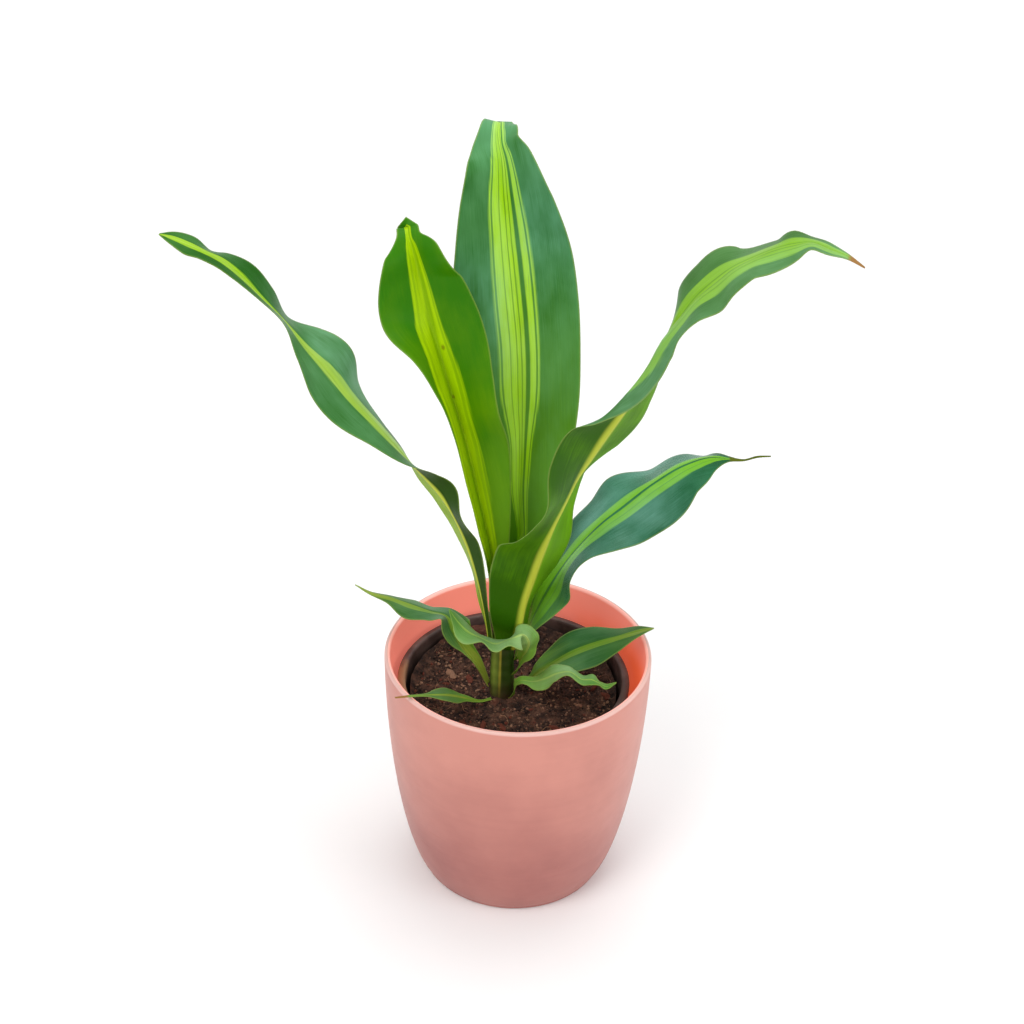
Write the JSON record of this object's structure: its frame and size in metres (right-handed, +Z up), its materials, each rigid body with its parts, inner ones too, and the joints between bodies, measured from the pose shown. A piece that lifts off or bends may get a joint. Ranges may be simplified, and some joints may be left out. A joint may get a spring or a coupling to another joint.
{
  "type": "potted dracaena",
  "caption": "Broad-leaved dracaena with waved, lime-striped leaves on a short stem, rooted in soil in a plastic nursery pot that stands in a bulging glazed outer pot.",
  "frame": {"origin": "middle of the outer pot's flat base, on the surface that it stands on", "axes": "+Z up, the plant's show side faces -Y, +X to the right seen from that side"},
  "size_m": [0.3156, 0.1878, 0.4001],
  "materials": {
    "pot_glaze": "semi-gloss pink glaze, darker salmon towards the shaded side",
    "nursery_plastic": "dark moulded plastic, satin",
    "soil": "loose potting soil, matt",
    "stem_green": "living green stem, satin",
    "leaf_green": "living leaf, dark green with a paler green stripe, satin",
    "leaf_lime_striped": "living leaf, broad lime stripe between dark green sides, glossy",
    "leaf_blue_green": "living leaf, blue-green with a lime stripe, glossy",
    "leaf_pale_green": "young living leaf, pale green, satin"
  },
  "bodies": {
    "root": {"outer_pot": "pot_glaze", "nursery_pot": "nursery_plastic", "soil": "soil", "stem": "stem_green", "leaf_centre": "leaf_blue_green", "leaf_left_upright": "leaf_lime_striped", "leaf_left_arching": "leaf_green", "leaf_right_arching": "leaf_lime_striped", "leaf_right_low": "leaf_blue_green", "leaf_small_left": "leaf_green", "leaf_small_front": "leaf_pale_green", "leaf_small_right": "leaf_green", "leaf_small_wavy": "leaf_pale_green", "leaf_on_soil": "leaf_green"}
  },
  "joints": []
}
